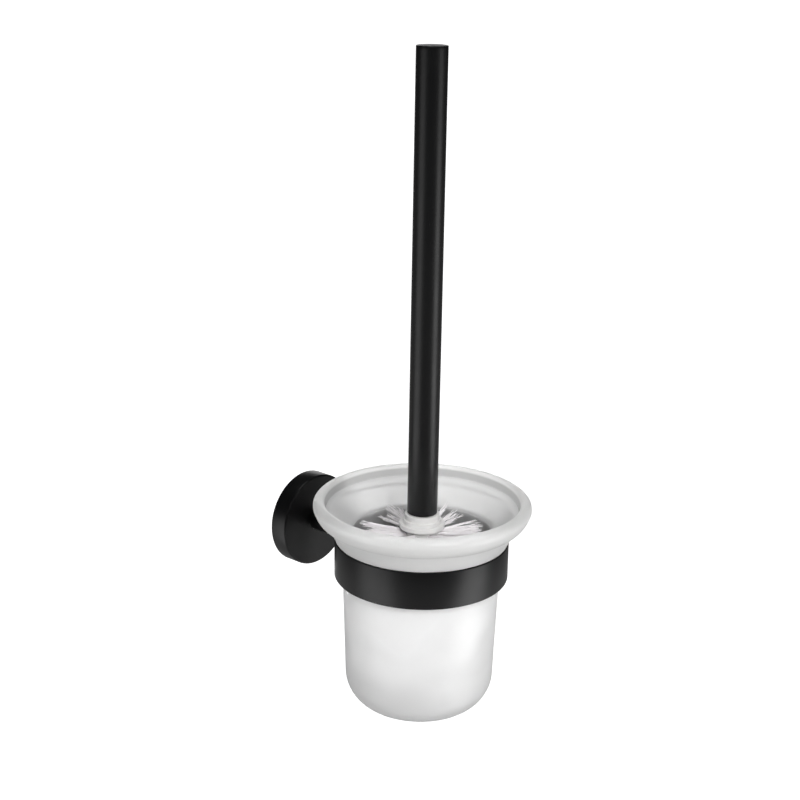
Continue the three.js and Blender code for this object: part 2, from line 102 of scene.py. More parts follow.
def add_node(tree, kind, sockets=None, **settings):
    """Adds a node, sets its settings, and links or sets its sockets."""
    node = tree.nodes.new(kind)
    for name, value in settings.items():
        setattr(node, name, value)
    for name, value in (sockets or {}).items():
        if isinstance(value, bpy.types.NodeSocket):
            tree.links.new(value, node.inputs[name])
        else:
            node.inputs[name].default_value = value
    return node


def empty_material(name):
    """A material with no nodes yet, and its node tree."""
    material = bpy.data.materials.new(name)
    material.use_nodes = True
    material.node_tree.nodes.clear()
    return material, material.node_tree


# Plain white where the camera looks past the object. Diffuse light comes mostly from below and level, as off
# white paper, and reflections show a dim table under the object and a dark room above it.
world = bpy.data.worlds.new("studio")
scene.world = world
world.use_nodes = True
world.node_tree.nodes.clear()
tree = world.node_tree
path = add_node(tree, "ShaderNodeLightPath")
paper = add_node(tree, "ShaderNodeBackground", {"Color": linear("#ffffff"), "Strength": 1.0})
direction = add_node(tree, "ShaderNodeTexCoord")
height = add_node(tree, "ShaderNodeSeparateXYZ", {"Vector": direction.outputs["Generated"]})
walls = add_node(
    tree,
    "ShaderNodeMapRange",
    {"Value": height.outputs["Z"], "From Min": -0.3, "From Max": 0.5, "To Min": 1.05, "To Max": 0.3},
)
bounce = add_node(
    tree, "ShaderNodeBackground", {"Color": linear("#ffffff"), "Strength": walls.outputs["Result"]}
)
table = add_node(
    tree,
    "ShaderNodeMapRange",
    {"Value": height.outputs["Z"], "From Min": -0.5, "From Max": -0.02, "To Min": 0.36, "To Max": 0.01},
    interpolation_type="SMOOTHSTEP",
)
gloss = add_node(
    tree, "ShaderNodeBackground", {"Color": linear("#ffffff"), "Strength": table.outputs["Result"]}
)
inside = add_node(tree, "ShaderNodeMixShader", {0: path.outputs["Is Glossy Ray"]})
tree.links.new(bounce.outputs[0], inside.inputs[1])
tree.links.new(gloss.outputs[0], inside.inputs[2])
seen = add_node(tree, "ShaderNodeMixShader", {0: path.outputs["Is Camera Ray"]})
tree.links.new(inside.outputs[0], seen.inputs[1])
tree.links.new(paper.outputs[0], seen.inputs[2])
add_node(tree, "ShaderNodeOutputWorld", {"Surface": seen.outputs[0]})

FLOOR_DROP = 1.3  # below the object
FLOOR_HALF = 60
floor_mesh = bpy.data.meshes.new("floor")
bm = bmesh.new()
bmesh.ops.create_grid(bm, x_segments=1, y_segments=1, size=FLOOR_HALF)
bm.transform(Matrix.Translation((0, 0, cad_box[0].z - FLOOR_DROP)))
bm.to_mesh(floor_mesh)
bm.free()
floor = bpy.data.objects.new("floor", floor_mesh)
scene.collection.objects.link(floor)
# Matte white paper, lit from behind a little so that it reads as pure white and shows no edge.
floor_paper, tree = empty_material("lit_white_paper")
shader = add_node(
    tree,
    "ShaderNodeBsdfPrincipled",
    {
        "Base Color": linear("#e8e8e8"),
        "Roughness": 0.9,
        "Specular IOR Level": 0.0,
        "Emission Color": linear("#ffffff"),
        "Emission Strength": 0.96,
    },
)
add_node(tree, "ShaderNodeOutputMaterial", {"Surface": shader.outputs[0]})
floor_mesh.materials.append(floor_paper)
floor.visible_diffuse = False
floor.visible_glossy = False

AIM_HEIGHT = 0.05  # of the point that the softboxes face, over the ring
OVERHEAD_HEIGHT = 2.6
# Each softbox: degrees round from the camera, distance, height over the ring, width, length, watts. The high
# one makes no reflections, which would grey the black parts, and the one behind isn't seen through the glass.
SOFTBOXES = {
    "softbox_left": (-60, 1.5, -0.64, 1.25, 1.6, 7.2),
    "softbox_right": (72, 1.3, -0.64, 0.9, 1.6, 9),
    "softbox_high": (16, 1.9, 1.35, 1.3, 0.9, 48),
    "softbox_back": (184, 1.8, -0.1, 1.3, 1.5, 9),
}
for name, (turn, distance, height, width, length, watts) in SOFTBOXES.items():
    light = bpy.data.lights.new(name, "AREA")
    light.shape = "RECTANGLE"
    light.size = width
    light.size_y = length
    light.energy = watts
    lamp = bpy.data.objects.new(name, light)
    side = CAMERA_AZIMUTH + math.radians(turn)
    lamp.location = BOWL_AXIS + Vector((math.sin(side) * distance, -math.cos(side) * distance, height))
    aim = BOWL_AXIS + Vector((0, 0, AIM_HEIGHT)) - lamp.location
    lamp.rotation_euler = aim.to_track_quat("-Z", "Y").to_euler()
    lamp.visible_glossy = name != "softbox_high"
    lamp.visible_transmission = name != "softbox_back"
    scene.collection.objects.link(lamp)
overhead = bpy.data.lights.new("softbox_overhead", "AREA")
overhead.shape = "DISK"
overhead.size = 1.1
overhead.energy = 9
lamp = bpy.data.objects.new("softbox_overhead", overhead)
lamp.location = (0, 0, OVERHEAD_HEIGHT)
scene.collection.objects.link(lamp)

# ---- Rosette ----
# A turned steel cup that slides over the wall bracket. Its edge is broken by a small chamfer, and like every
# black piece it is powder-coated: a thin baked film with a faint orange peel and a satin sheen.

OUT_OF_WALL = Matrix.Rotation(math.pi / 2, 4, "X")  # turns +Z to -Y, away from the wall
SHARP = math.radians(32)  # faces that meet at a larger angle keep a crisp edge
PEEL_GRAIN = 0.9 * MM  # a real orange peel is about half as coarse, too fine to show
PEEL_DEPTH = 0.06 * MM
FILM_CLOUD = 18 * MM

# Baked powder: deep black with a satin sheen. Its orange peel breaks up the edges of a reflection, and the
# sheen varies a little where the film is thicker.
powder_coat, tree = empty_material("satin_black_powder_coat")
place = add_node(tree, "ShaderNodeTexCoord")
peel = add_node(
    tree,
    "ShaderNodeTexNoise",
    {"Vector": place.outputs["Object"], "Scale": 1 / PEEL_GRAIN, "Detail": 2.0, "Roughness": 0.5},
)
cloud = add_node(
    tree,
    "ShaderNodeTexNoise",
    {"Vector": place.outputs["Object"], "Scale": 1 / FILM_CLOUD, "Detail": 3.0, "Roughness": 0.6},
)
sheen = add_node(
    tree,
    "ShaderNodeMapRange",
    {"Value": cloud.outputs["Fac"], "From Min": 0.3, "From Max": 0.7, "To Min": 0.33, "To Max": 0.39},
)
film = add_node(
    tree, "ShaderNodeBump", {"Height": peel.outputs["Fac"], "Strength": 0.28, "Distance": PEEL_DEPTH}
)
shader = add_node(
    tree,
    "ShaderNodeBsdfPrincipled",
    {
        "Base Color": linear("#070708"),
        "Roughness": sheen.outputs["Result"],
        "Normal": film.outputs["Normal"],
        "IOR": 1.5,
    },
)
add_node(tree, "ShaderNodeOutputMaterial", {"Surface": shader.outputs[0]})


def arc(centre, radius, start, end, steps):
    """Outline points on an arc, its angles in degrees."""
    angles = [math.radians(start + (end - start) * i / steps) for i in range(steps + 1)]
    return [(centre[0] + radius * math.cos(a), centre[1] + radius * math.sin(a)) for a in angles]


def curve(start, pull_start, pull_end, end, steps):
    """Outline points on a smooth curve, without its two ends."""
    points = interpolate_bezier(*(Vector((*p, 0)) for p in (start, pull_start, pull_end, end)), steps + 1)
    return [(p.x, p.y) for p in points[1:-1]]


def turned(outline, steps, closed=False):
    """A bmesh of an outline of (radius, height) points turned about +Z."""
    bm = bmesh.new()
    corners = [bm.verts.new((radius, 0, height)) for radius, height in outline]
    edges = [bm.edges.new(pair) for pair in zip(corners, corners[1:])]
    if closed:
        edges.append(bm.edges.new((corners[-1], corners[0])))
    bmesh.ops.spin(
        bm,
        geom=corners + edges,
        cent=(0, 0, 0),
        axis=(0, 0, 1),
        angle=2 * math.pi,
        steps=steps,
        use_merge=True,
    )
    bmesh.ops.remove_doubles(bm, verts=bm.verts, dist=1e-6)
    bmesh.ops.recalc_face_normals(bm, faces=bm.faces)
    return bm


def add_piece(name, bm, body, material, nodes, smooth=True):
    """Makes a bmesh into a piece that rides on a body and stands for CAD nodes."""
    for face in bm.faces:
        face.smooth = smooth
    for edge in bm.edges:
        edge.smooth = len(edge.link_faces) == 2 and edge.calc_face_angle(0) < SHARP
    mesh = bpy.data.meshes.new(name)
    bm.to_mesh(mesh)
    bm.free()
    mesh.materials.append(material)
    piece = bpy.data.objects.new(name, mesh)
    scene.collection.objects.link(piece)
    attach(piece, body)
    if nodes:
        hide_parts(*nodes)
    return piece


rosette_low, rosette_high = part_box("rosette_cover")
ROSETTE_RADIUS = (rosette_high.x - rosette_low.x) / 2
ROSETTE_DEPTH = rosette_high.y - rosette_low.y
ROSETTE_WALL = 3 * MM
ROSETTE_EDGE = 0.8 * MM
RIM_BREAK = 0.3 * MM  # of the two edges at the wall
BOLT_HOLE = 3.3 * MM  # radius of the hole for the arm's bolt
inner = ROSETTE_RADIUS - ROSETTE_WALL
outline = [(BOLT_HOLE, ROSETTE_DEPTH), (ROSETTE_RADIUS - 1.4 * ROSETTE_EDGE, ROSETTE_DEPTH)]
outline += curve(
    outline[-1],
    (ROSETTE_RADIUS - 0.7 * ROSETTE_EDGE, ROSETTE_DEPTH),
    (ROSETTE_RADIUS, ROSETTE_DEPTH - 0.5 * ROSETTE_EDGE),
    (ROSETTE_RADIUS, ROSETTE_DEPTH - 1.2 * ROSETTE_EDGE),
    4,
)
outline += [
    (ROSETTE_RADIUS, ROSETTE_DEPTH - 1.2 * ROSETTE_EDGE),
    (ROSETTE_RADIUS, RIM_BREAK),
    (ROSETTE_RADIUS - RIM_BREAK, 0),
    (inner + RIM_BREAK, 0),
    (inner, RIM_BREAK),
    (inner, ROSETTE_DEPTH - ROSETTE_WALL),
    (BOLT_HOLE, ROSETTE_DEPTH - ROSETTE_WALL),
]
bm = turned(outline, 96, closed=True)
bm.transform(OUT_OF_WALL)
add_piece("rosette", bm, "wall_mount", powder_coat, ["rosette_cover"])

# ---- Arm ----
# A short round bar between the rosette and the ring. Its far end is milled hollow so that it sits closely
# round the ring, and it is coated together with it.

arm_low, arm_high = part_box("arm_post")
ARM_RADIUS = (arm_high.x - arm_low.x) / 2
ARM_SINK = 0.25 * MM  # of its foot into the rosette's face, so that no gap shows
RING_BITE = 0.05 * MM  # of its hollow end into the ring
bm = bmesh.new()
bmesh.ops.create_circle(bm, cap_ends=True, segments=48, radius=ARM_RADIUS)
bm.transform(Matrix.Translation((0, arm_high.y + ARM_SINK, 0)) @ OUT_OF_WALL)
grown = bmesh.ops.extrude_face_region(bm, geom=bm.faces[:])
for vert in (v for v in grown["geom"] if isinstance(v, bmesh.types.BMVert)):
    vert.co.y = BOWL_AXIS.y + math.sqrt((RING_RADIUS - RING_BITE) ** 2 - vert.co.x**2)
bmesh.ops.recalc_face_normals(bm, faces=bm.faces)
add_piece("arm", bm, "wall_mount", powder_coat, ["arm_post"])

# ---- Ring ----
# A hoop of steel strip, bent round, welded and ground, with lightly broken edges. The bowl's shoulder hangs
# on its top edge.

RING_WALL = 3 * MM
RING_EDGE = 0.5 * MM
ring_drop = ring_low.z - ring_high.z
outline = []
for centre, start in (
    ((RING_RADIUS - RING_EDGE, ring_drop + RING_EDGE), -90),
    ((RING_RADIUS - RING_EDGE, -RING_EDGE), 0),
    ((RING_RADIUS - RING_WALL + RING_EDGE, -RING_EDGE), 90),
    ((RING_RADIUS - RING_WALL + RING_EDGE, ring_drop + RING_EDGE), 180),
):
    outline += arc(centre, RING_EDGE, start, start + 90, 3)
bm = turned(outline, 160, closed=True)
bm.transform(Matrix.Translation(BOWL_AXIS))
add_piece("ring", bm, "wall_mount", powder_coat, ["holder_ring"])

# ---- Fixings ----
# Zinc die-cast bracket, zinc-plated screws, bolt and washer, and two blackened screws. They keep their CAD
# shapes, as they show only from behind or when the bowl is out.

CASTING_GRAIN = 1.1 * MM  # coarser than real, so that it shows
CASTING_DEPTH = 0.05 * MM
PASSIVATE_STAIN = 2.5 * MM
OXIDE_RUB = 0.8 * MM

# Die-cast zinc: a dull grey metal with a pebbled skin from the mould.
die_cast, tree = empty_material("die_cast_zinc")
place = add_node(tree, "ShaderNodeTexCoord")
grain = add_node(
    tree,
    "ShaderNodeTexNoise",
    {"Vector": place.outputs["Object"], "Scale": 1 / CASTING_GRAIN, "Detail": 4.0, "Roughness": 0.65},
)
skin = add_node(
    tree, "ShaderNodeBump", {"Height": grain.outputs["Fac"], "Strength": 0.4, "Distance": CASTING_DEPTH}
)
dull = add_node(
    tree,
    "ShaderNodeMapRange",
    {"Value": grain.outputs["Fac"], "From Min": 0.3, "From Max": 0.7, "To Min": 0.42, "To Max": 0.56},
)
shader = add_node(
    tree,
    "ShaderNodeBsdfPrincipled",
    {
        "Base Color": linear("#a4a6a8"),
        "Metallic": 1.0,
        "Roughness": dull.outputs["Result"],
        "Normal": skin.outputs["Normal"],
    },
)
add_node(tree, "ShaderNodeOutputMaterial", {"Surface": shader.outputs[0]})
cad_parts["wall_bracket"].data.materials.clear()
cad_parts["wall_bracket"].data.materials.append(die_cast)

# Zinc plating: a bright, cool metal that turns faintly yellow where the passivate is thicker.
plated, tree = empty_material("zinc_plated_steel")
place = add_node(tree, "ShaderNodeTexCoord")
tint = add_node(
    tree,
    "ShaderNodeTexNoise",
    {"Vector": place.outputs["Object"], "Scale": 1 / PASSIVATE_STAIN, "Detail": 3.0},
)
passivate = add_node(
    tree,
    "ShaderNodeMix",
    {0: tint.outputs["Fac"], 6: linear("#c9ccd0"), 7: linear("#bcb9a6")},
    data_type="RGBA",
)
shader = add_node(
    tree,
    "ShaderNodeBsdfPrincipled",
    {"Base Color": passivate.outputs[2], "Metallic": 1.0, "Roughness": 0.3},
)
add_node(tree, "ShaderNodeOutputMaterial", {"Surface": shader.outputs[0]})
for node in ("wall_screw_upper", "wall_screw_lower", "arm_bolt", "arm_washer"):
    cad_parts[node].data.materials.clear()
    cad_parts[node].data.materials.append(plated)

# Black oxide: near-black steel, rubbed greyer in small spots.
blackened, tree = empty_material("black_oxide_steel")
place = add_node(tree, "ShaderNodeTexCoord")
rub = add_node(
    tree,
    "ShaderNodeTexNoise",
    {"Vector": place.outputs["Object"], "Scale": 1 / OXIDE_RUB, "Detail": 3.0},
)
oxide = add_node(
    tree,
    "ShaderNodeMix",
    {0: rub.outputs["Fac"], 6: linear("#1a1b1d"), 7: linear("#333436")},
    data_type="RGBA",
)
shader = add_node(
    tree, "ShaderNodeBsdfPrincipled", {"Base Color": oxide.outputs[2], "Metallic": 0.8, "Roughness": 0.38}
)
add_node(tree, "ShaderNodeOutputMaterial", {"Surface": shader.outputs[0]})
for node in ("rosette_set_screw", "ring_screw"):
    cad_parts[node].data.materials.clear()
    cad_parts[node].data.materials.append(blackened)

# ---- Glass bowl ----
# Pressed soda-lime glass, frosted all over in acid: a body that narrows to a round foot, a shoulder that
# hangs on the ring, a neck, and a flared lip. The etched skin scatters light, so it looks milky and soft.

bowl_low, bowl_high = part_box("glass_bowl")
LIP_RADIUS = (bowl_high.x - bowl_low.x) / 2
LIP_TOP = bowl_high.z - RING_TOP
FOOT = bowl_low.z - RING_TOP
BODY_RADIUS = RING_RADIUS - 4.8 * MM
FOOT_RADIUS = BODY_RADIUS - 2 * MM
FOOT_CORNER = 20 * MM
GLASS = 4.8 * MM
GLASS_FLOOR = 5 * MM
SHOULDER = 0.25 * MM  # above the ring, where the seat starts
SEAT_ROUND = 0.5 * MM
SEAT_FILLET = 0.3 * MM
LIP_ROLL_UP = 3.6 * MM
LIP_ROLL_IN = 4.5 * MM
LIP_FACE = 1.2 * MM
LIP_LAND = 6.5 * MM
LIP_SLOPE = 1.6 * MM
LIP_DROP = 4.6 * MM  # depth of the step inside the lip
neck = (RING_RADIUS - 0.3 * MM, SHOULDER + SEAT_ROUND)
crease = (neck[0] + 4.6 * MM, 10.6 * MM)
lip_shoulder = (LIP_RADIUS, LIP_TOP - LIP_ROLL_UP)
lip_foot = (LIP_RADIUS, lip_shoulder[1] - LIP_FACE)
lip_crown = (LIP_RADIUS - LIP_ROLL_IN, LIP_TOP)
lip_inner = (LIP_RADIUS - LIP_LAND, LIP_TOP - LIP_SLOPE)
drop_foot = (lip_inner[0] - 1 * MM, lip_inner[1] - LIP_DROP)
funnel_foot = (BODY_RADIUS - GLASS, 3.4 * MM)
run = drop_foot[0] - funnel_foot[0]
fall = drop_foot[1] - funnel_foot[1]
outline = [(0, FOOT)]
outline += arc((FOOT_RADIUS - FOOT_CORNER, FOOT + FOOT_CORNER), FOOT_CORNER, -90, 0, 16)
outline += [(BODY_RADIUS, ring_drop), (BODY_RADIUS, SHOULDER - SEAT_FILLET)]
outline += [(BODY_RADIUS + SEAT_FILLET, SHOULDER)]
outline += arc((neck[0] - SEAT_ROUND, SHOULDER + SEAT_ROUND), SEAT_ROUND, -90, 0, 4)
outline += curve(neck, (neck[0] + 1.6 * MM, 4.2 * MM), (crease[0] - 1.2 * MM, 7.9 * MM), crease, 10)
outline += [crease]
outline += curve(
    crease,
    (crease[0] + 0.6 * (lip_foot[0] - crease[0]), crease[1] + 1.2 * MM),
    (lip_foot[0] - 1.6 * MM, crease[1] + 4 * MM),
    lip_foot,
    14,
)
outline += [lip_foot, lip_shoulder]
outline += curve(
    lip_shoulder, (LIP_RADIUS, LIP_TOP - 0.4 * LIP_ROLL_UP), (LIP_RADIUS - 2 * MM, LIP_TOP), lip_crown, 10
)
outline += [lip_crown]
outline += curve(
    lip_crown,
    (lip_inner[0] + 1 * MM, LIP_TOP),
    (lip_inner[0] + 0.3 * MM, lip_inner[1] + 1 * MM),
    lip_inner,
    6,
)
outline += [lip_inner]
outline += curve(
    lip_inner,
    (lip_inner[0] - 0.3 * MM, lip_inner[1] - 1.5 * MM),
    (drop_foot[0] + 0.2 * MM, drop_foot[1] + 1.5 * MM),
    drop_foot,
    4,
)
outline += [drop_foot]
outline += curve(
    drop_foot,
    (drop_foot[0] - 0.35 * run, drop_foot[1] - 0.12 * fall),
    (funnel_foot[0] + 0.42 * run, funnel_foot[1] + 0.62 * fall),
    funnel_foot,
    14,
)
outline += [funnel_foot]
outline += arc(
    (FOOT_RADIUS - FOOT_CORNER, FOOT + GLASS_FLOOR + FOOT_CORNER - GLASS), FOOT_CORNER - GLASS, 0, -90, 12
)
outline += [(0, FOOT + GLASS_FLOOR)]

# Acid-frosted glass: the etched skin spreads the light, so the bowl glows softly, its edges look milky and
# nothing shows sharply through it. It is a little cloudy and clearer in the thin flare. Its colour also holds
# painted shade: darker towards the foot, on the step inside the lip, and on the inner face of the funnel and
# of the wall behind the ring, darkest just under the shoulder.
ETCH_GRAIN = 0.7 * MM  # the real grain is far finer, too fine to show
ETCH_DEPTH = 0.03 * MM
MILK_CLOUD = 34 * MM
# Painted shade: the body's colour darkens from the higher of these two heights down to the lower, towards its
# foot.
FOOT_SHADE_LOW = RING_TOP - 100 * MM
FOOT_SHADE_HIGH = RING_TOP - 55 * MM
# Painted shade on the wall inside the ring reaches up to this height.
SHOULDER_SHADE_TOP = RING_TOP - 10 * MM
FUNNEL_SLANT = 0.9  # the funnel's radius grows by about this much for each step up
FUNNEL_SKIN = 40.5 * MM  # its radius level with the ring's top, just outside the inner face
SKIN_FADE = 3 * MM
SCATTER_DEPTH = 6 * MM
frosted, tree = empty_material("acid_frosted_glass")
place = add_node(tree, "ShaderNodeTexCoord")
etch = add_node(
    tree,
    "ShaderNodeTexNoise",
    {"Vector": place.outputs["Object"], "Scale": 1 / ETCH_GRAIN, "Detail": 3.0, "Roughness": 0.6},
)
cloud = add_node(
    tree,
    "ShaderNodeTexNoise",
    {"Vector": place.outputs["Object"], "Scale": 1 / MILK_CLOUD, "Detail": 1.0, "Roughness": 0.4},
)
milk = add_node(
    tree, "ShaderNodeMapRange", {"Value": cloud.outputs["Fac"], "From Min": 0.36, "From Max": 0.6}
)
tone = add_node(
    tree,
    "ShaderNodeMix",
    {0: milk.outputs["Result"], 6: linear("#ebebeb"), 7: linear("#ffffff")},
    data_type="RGBA",
)
level = add_node(tree, "ShaderNodeSeparateXYZ", {"Vector": place.outputs["Object"]})
# Painted shade: the body darkens towards its foot, down to #d2d2d2.
foot_shade_mask = add_node(
    tree,
    "ShaderNodeMapRange",
    {"Value": level.outputs["Z"], "From Min": FOOT_SHADE_LOW, "From Max": FOOT_SHADE_HIGH},
    interpolation_type="SMOOTHSTEP",
)
foot_shaded_tone = add_node(
    tree,
    "ShaderNodeMix",
    {0: foot_shade_mask.outputs["Result"], 6: linear("#d2d2d2"), 7: tone.outputs[2]},
    data_type="RGBA",
)
flare = add_node(
    tree,
    "ShaderNodeMapRange",
    {"Value": level.outputs["Z"], "From Min": ring_low.z, "From Max": RING_TOP},
    interpolation_type="SMOOTHSTEP",
)
glass_tone = add_node(
    tree,
    "ShaderNodeMix",
    {0: flare.outputs["Result"], 6: foot_shaded_tone.outputs[2], 7: linear("#f5f5f4")},
    data_type="RGBA",
)
# Painted shade inside the bowl: the inner face of the funnel, and of the wall behind the ring up to the
# shoulder, is toned darker where the ring would shade it.
from_axis = add_node(
    tree,
    "ShaderNodeVectorMath",
    {0: place.outputs["Object"], 1: (0, -BOWL_AXIS.y, 0)},
    operation="ADD",
)
flat = add_node(
    tree, "ShaderNodeVectorMath", {0: from_axis.outputs[0], 1: (1, 1, 0)}, operation="MULTIPLY"
)
radius = add_node(tree, "ShaderNodeVectorMath", {0: flat.outputs[0]}, operation="LENGTH")
slant = add_node(
    tree,
    "ShaderNodeMath",
    {0: level.outputs["Z"], 1: -FUNNEL_SLANT, 2: radius.outputs["Value"]},
    operation="MULTIPLY_ADD",
)
in_funnel = add_node(
    tree,
    "ShaderNodeMapRange",
    {
        "Value": slant.outputs[0],
        "From Min": FUNNEL_SKIN - FUNNEL_SLANT * RING_TOP,
        "From Max": FUNNEL_SKIN + SKIN_FADE - FUNNEL_SLANT * RING_TOP,
        "To Min": 1.0,
        "To Max": 0.0,
    },
)
under_step = add_node(
    tree,
    "ShaderNodeMapRange",
    {
        "Value": level.outputs["Z"],
        "From Min": RING_TOP + drop_foot[1],
        "From Max": RING_TOP + drop_foot[1] + 2 * MM,
        "To Min": 1.0,
        "To Max": 0.0,
    },
)
funnel_shade_mask = add_node(
    tree, "ShaderNodeMath", {0: in_funnel.outputs[0], 1: under_step.outputs[0]}, operation="MULTIPLY"
)
in_body = add_node(
    tree,
    "ShaderNodeMapRange",
    {
        "Value": radius.outputs["Value"],
        "From Min": BODY_RADIUS - 0.7 * GLASS,
        "From Max": BODY_RADIUS - 0.4 * GLASS,
        "To Min": 1.0,
        "To Max": 0.0,
    },
)
near_shoulder = add_node(
    tree,
    "ShaderNodeMapRange",
    {"Value": level.outputs["Z"], "From Min": ring_low.z, "From Max": SHOULDER_SHADE_TOP},
    interpolation_type="SMOOTHSTEP",
)
body_shade_mask = add_node(
    tree, "ShaderNodeMath", {0: in_body.outputs[0], 1: near_shoulder.outputs[0]}, operation="MULTIPLY"
)
inner_shade_mask = add_node(
    tree, "ShaderNodeMath", {0: funnel_shade_mask.outputs[0], 1: body_shade_mask.outputs[0]}, operation="MAXIMUM"
)
above_shoulder = add_node(
    tree,
    "ShaderNodeMapRange",
    {
        "Value": level.outputs["Z"],
        "From Min": RING_TOP + 1 * MM,
        "From Max": RING_TOP + funnel_foot[1] + 2 * MM,
    },
    interpolation_type="SMOOTHSTEP",
)
# Painted shade: #b2b2b2 just under the shoulder, #e4e4e4 on the funnel above it.
inner_shade_tone = add_node(
    tree,
    "ShaderNodeMix",
    {0: above_shoulder.outputs["Result"], 6: linear("#b2b2b2"), 7: linear("#e4e4e4")},
    data_type="RGBA",
)
tone_with_inner_shade = add_node(
    tree,
    "ShaderNodeMix",
    {0: inner_shade_mask.outputs[0], 6: glass_tone.outputs[2], 7: inner_shade_tone.outputs[2]},
    data_type="RGBA",
)
# Painted shade: a darker band at #bdbdbd on the step inside the lip, where the recess lies in shadow.
inside_lip = add_node(
    tree,
    "ShaderNodeMapRange",
    {"Value": radius.outputs["Value"], "From Min": lip_crown[0], "From Max": lip_inner[0]},
)
step_low = add_node(
    tree,
    "ShaderNodeMapRange",
    {
        "Value": level.outputs["Z"],
        "From Min": RING_TOP + drop_foot[1] - 1 * MM,
        "From Max": RING_TOP + drop_foot[1] + 1 * MM,
    },
)
step_high = add_node(
    tree,
    "ShaderNodeMapRange",
    {
        "Value": level.outputs["Z"],
        "From Min": RING_TOP + lip_inner[1] + 0.3 * MM,
        "From Max": RING_TOP + lip_inner[1] - 0.9 * MM,
    },
)
step = add_node(
    tree,
    "ShaderNodeMath",
    {0: step_low.outputs["Result"], 1: step_high.outputs["Result"]},
    operation="MULTIPLY",
)
step_shade_mask = add_node(
    tree, "ShaderNodeMath", {0: step.outputs[0], 1: inside_lip.outputs["Result"]}, operation="MULTIPLY"
)
step_shade_tone = add_node(
    tree,
    "ShaderNodeMix",
    {0: step_shade_mask.outputs[0], 6: tone_with_inner_shade.outputs[2], 7: linear("#bdbdbd")},
    data_type="RGBA",
)
clearness = add_node(
    tree,
    "ShaderNodeMapRange",
    {"Value": flare.outputs["Result"], "To Min": 0.4, "To Max": 0.55},
)
etched = add_node(
    tree, "ShaderNodeBump", {"Height": etch.outputs["Fac"], "Strength": 0.2, "Distance": ETCH_DEPTH}
)
shader = add_node(
    tree,
    "ShaderNodeBsdfPrincipled",
    {
        "Base Color": step_shade_tone.outputs[2],
        "Roughness": 0.38,
        "Normal": etched.outputs["Normal"],
        "IOR": 1.5,
        "Transmission Weight": clearness.outputs["Result"],
        "Subsurface Weight": 0.5,
        "Subsurface Radius": (1, 1, 1),
        "Subsurface Scale": SCATTER_DEPTH,
    },
)
add_node(tree, "ShaderNodeOutputMaterial", {"Surface": shader.outputs[0]})
bm = turned(outline, 144)
bm.transform(Matrix.Translation(BOWL_AXIS))
add_piece("frosted_bowl", bm, "bowl", frosted, ["glass_bowl"])

# ---- Handle ----
# A steel tube with a flat disc welded on its top and ground flush, all powder-coated. A threaded bush sits in
# its lower end.

tube_low, tube_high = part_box("handle_tube")
cap_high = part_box("handle_cap")[1]
TUBE_RADIUS = (tube_high.x - tube_low.x) / 2
TUBE_WALL = 1.2 * MM
TUBE_EDGE = 0.4 * MM
top = cap_high.z - RING_TOP
bottom = tube_low.z - RING_TOP
seam = tube_high.z - RING_TOP
outline = [
    (TUBE_RADIUS - TUBE_WALL, bottom),
    (TUBE_RADIUS - TUBE_EDGE, bottom),
    (TUBE_RADIUS, bottom + TUBE_EDGE),
    (TUBE_RADIUS, seam),
    (TUBE_RADIUS - TUBE_WALL, seam),
]
bm = turned(outline, 64, closed=True)
bm.transform(Matrix.Translation(BOWL_AXIS))
add_piece("handle", bm, "handle", powder_coat, ["handle_tube"])

outline = [(0, seam), (TUBE_RADIUS, seam)]
outline += arc((TUBE_RADIUS - TUBE_EDGE, top - TUBE_EDGE), TUBE_EDGE, 0, 90, 4)
outline += [(0, top)]
bm = turned(outline, 64)
bm.transform(Matrix.Translation(BOWL_AXIS))
add_piece("handle_top", bm, "handle", powder_coat, ["handle_cap"])

# ---- Brush head ----
# One white polypropylene moulding: a threaded spigot, three collars under the tube, and a core drilled for
# the tufts. Moulded polypropylene is slightly waxy and lets a little light in.

hub_low, hub_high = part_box("brush_hub")
SPIGOT_RADIUS = 4 * MM
COLLARS = ((1.3 * MM, 3.2 * MM), (2.3 * MM, 2.4 * MM), (4.4 * MM, 2.6 * MM))  # past the tube, height
COLLAR_EDGE = 0.3 * MM
CORE_RADIUS = 9 * MM
CORE_EDGE = 1.5 * MM
COLLAR_GAP = 0.3 * MM  # under the tube
SPIGOT_EDGE = 1 * MM
collar_top = bottom - COLLAR_GAP
core_foot = hub_low.z - RING_TOP
spigot_top = hub_high.z - RING_TOP
outline = [(0, spigot_top), (SPIGOT_RADIUS - SPIGOT_EDGE, spigot_top)]
outline += [(SPIGOT_RADIUS, spigot_top - SPIGOT_EDGE), (SPIGOT_RADIUS, collar_top)]
height = collar_top
for overhang, depth in COLLARS:
    radius = TUBE_RADIUS + overhang
    outline += arc((radius - COLLAR_EDGE, height - COLLAR_EDGE), COLLAR_EDGE, 90, 0, 3)
    height -= depth
    outline += [(radius, height)]
outline += [(CORE_RADIUS, height), (CORE_RADIUS, core_foot + CORE_EDGE)]
outline += arc((CORE_RADIUS - CORE_EDGE, core_foot + CORE_EDGE), CORE_EDGE, 0, -90, 4)[1:]
outline += [(0, core_foot)]

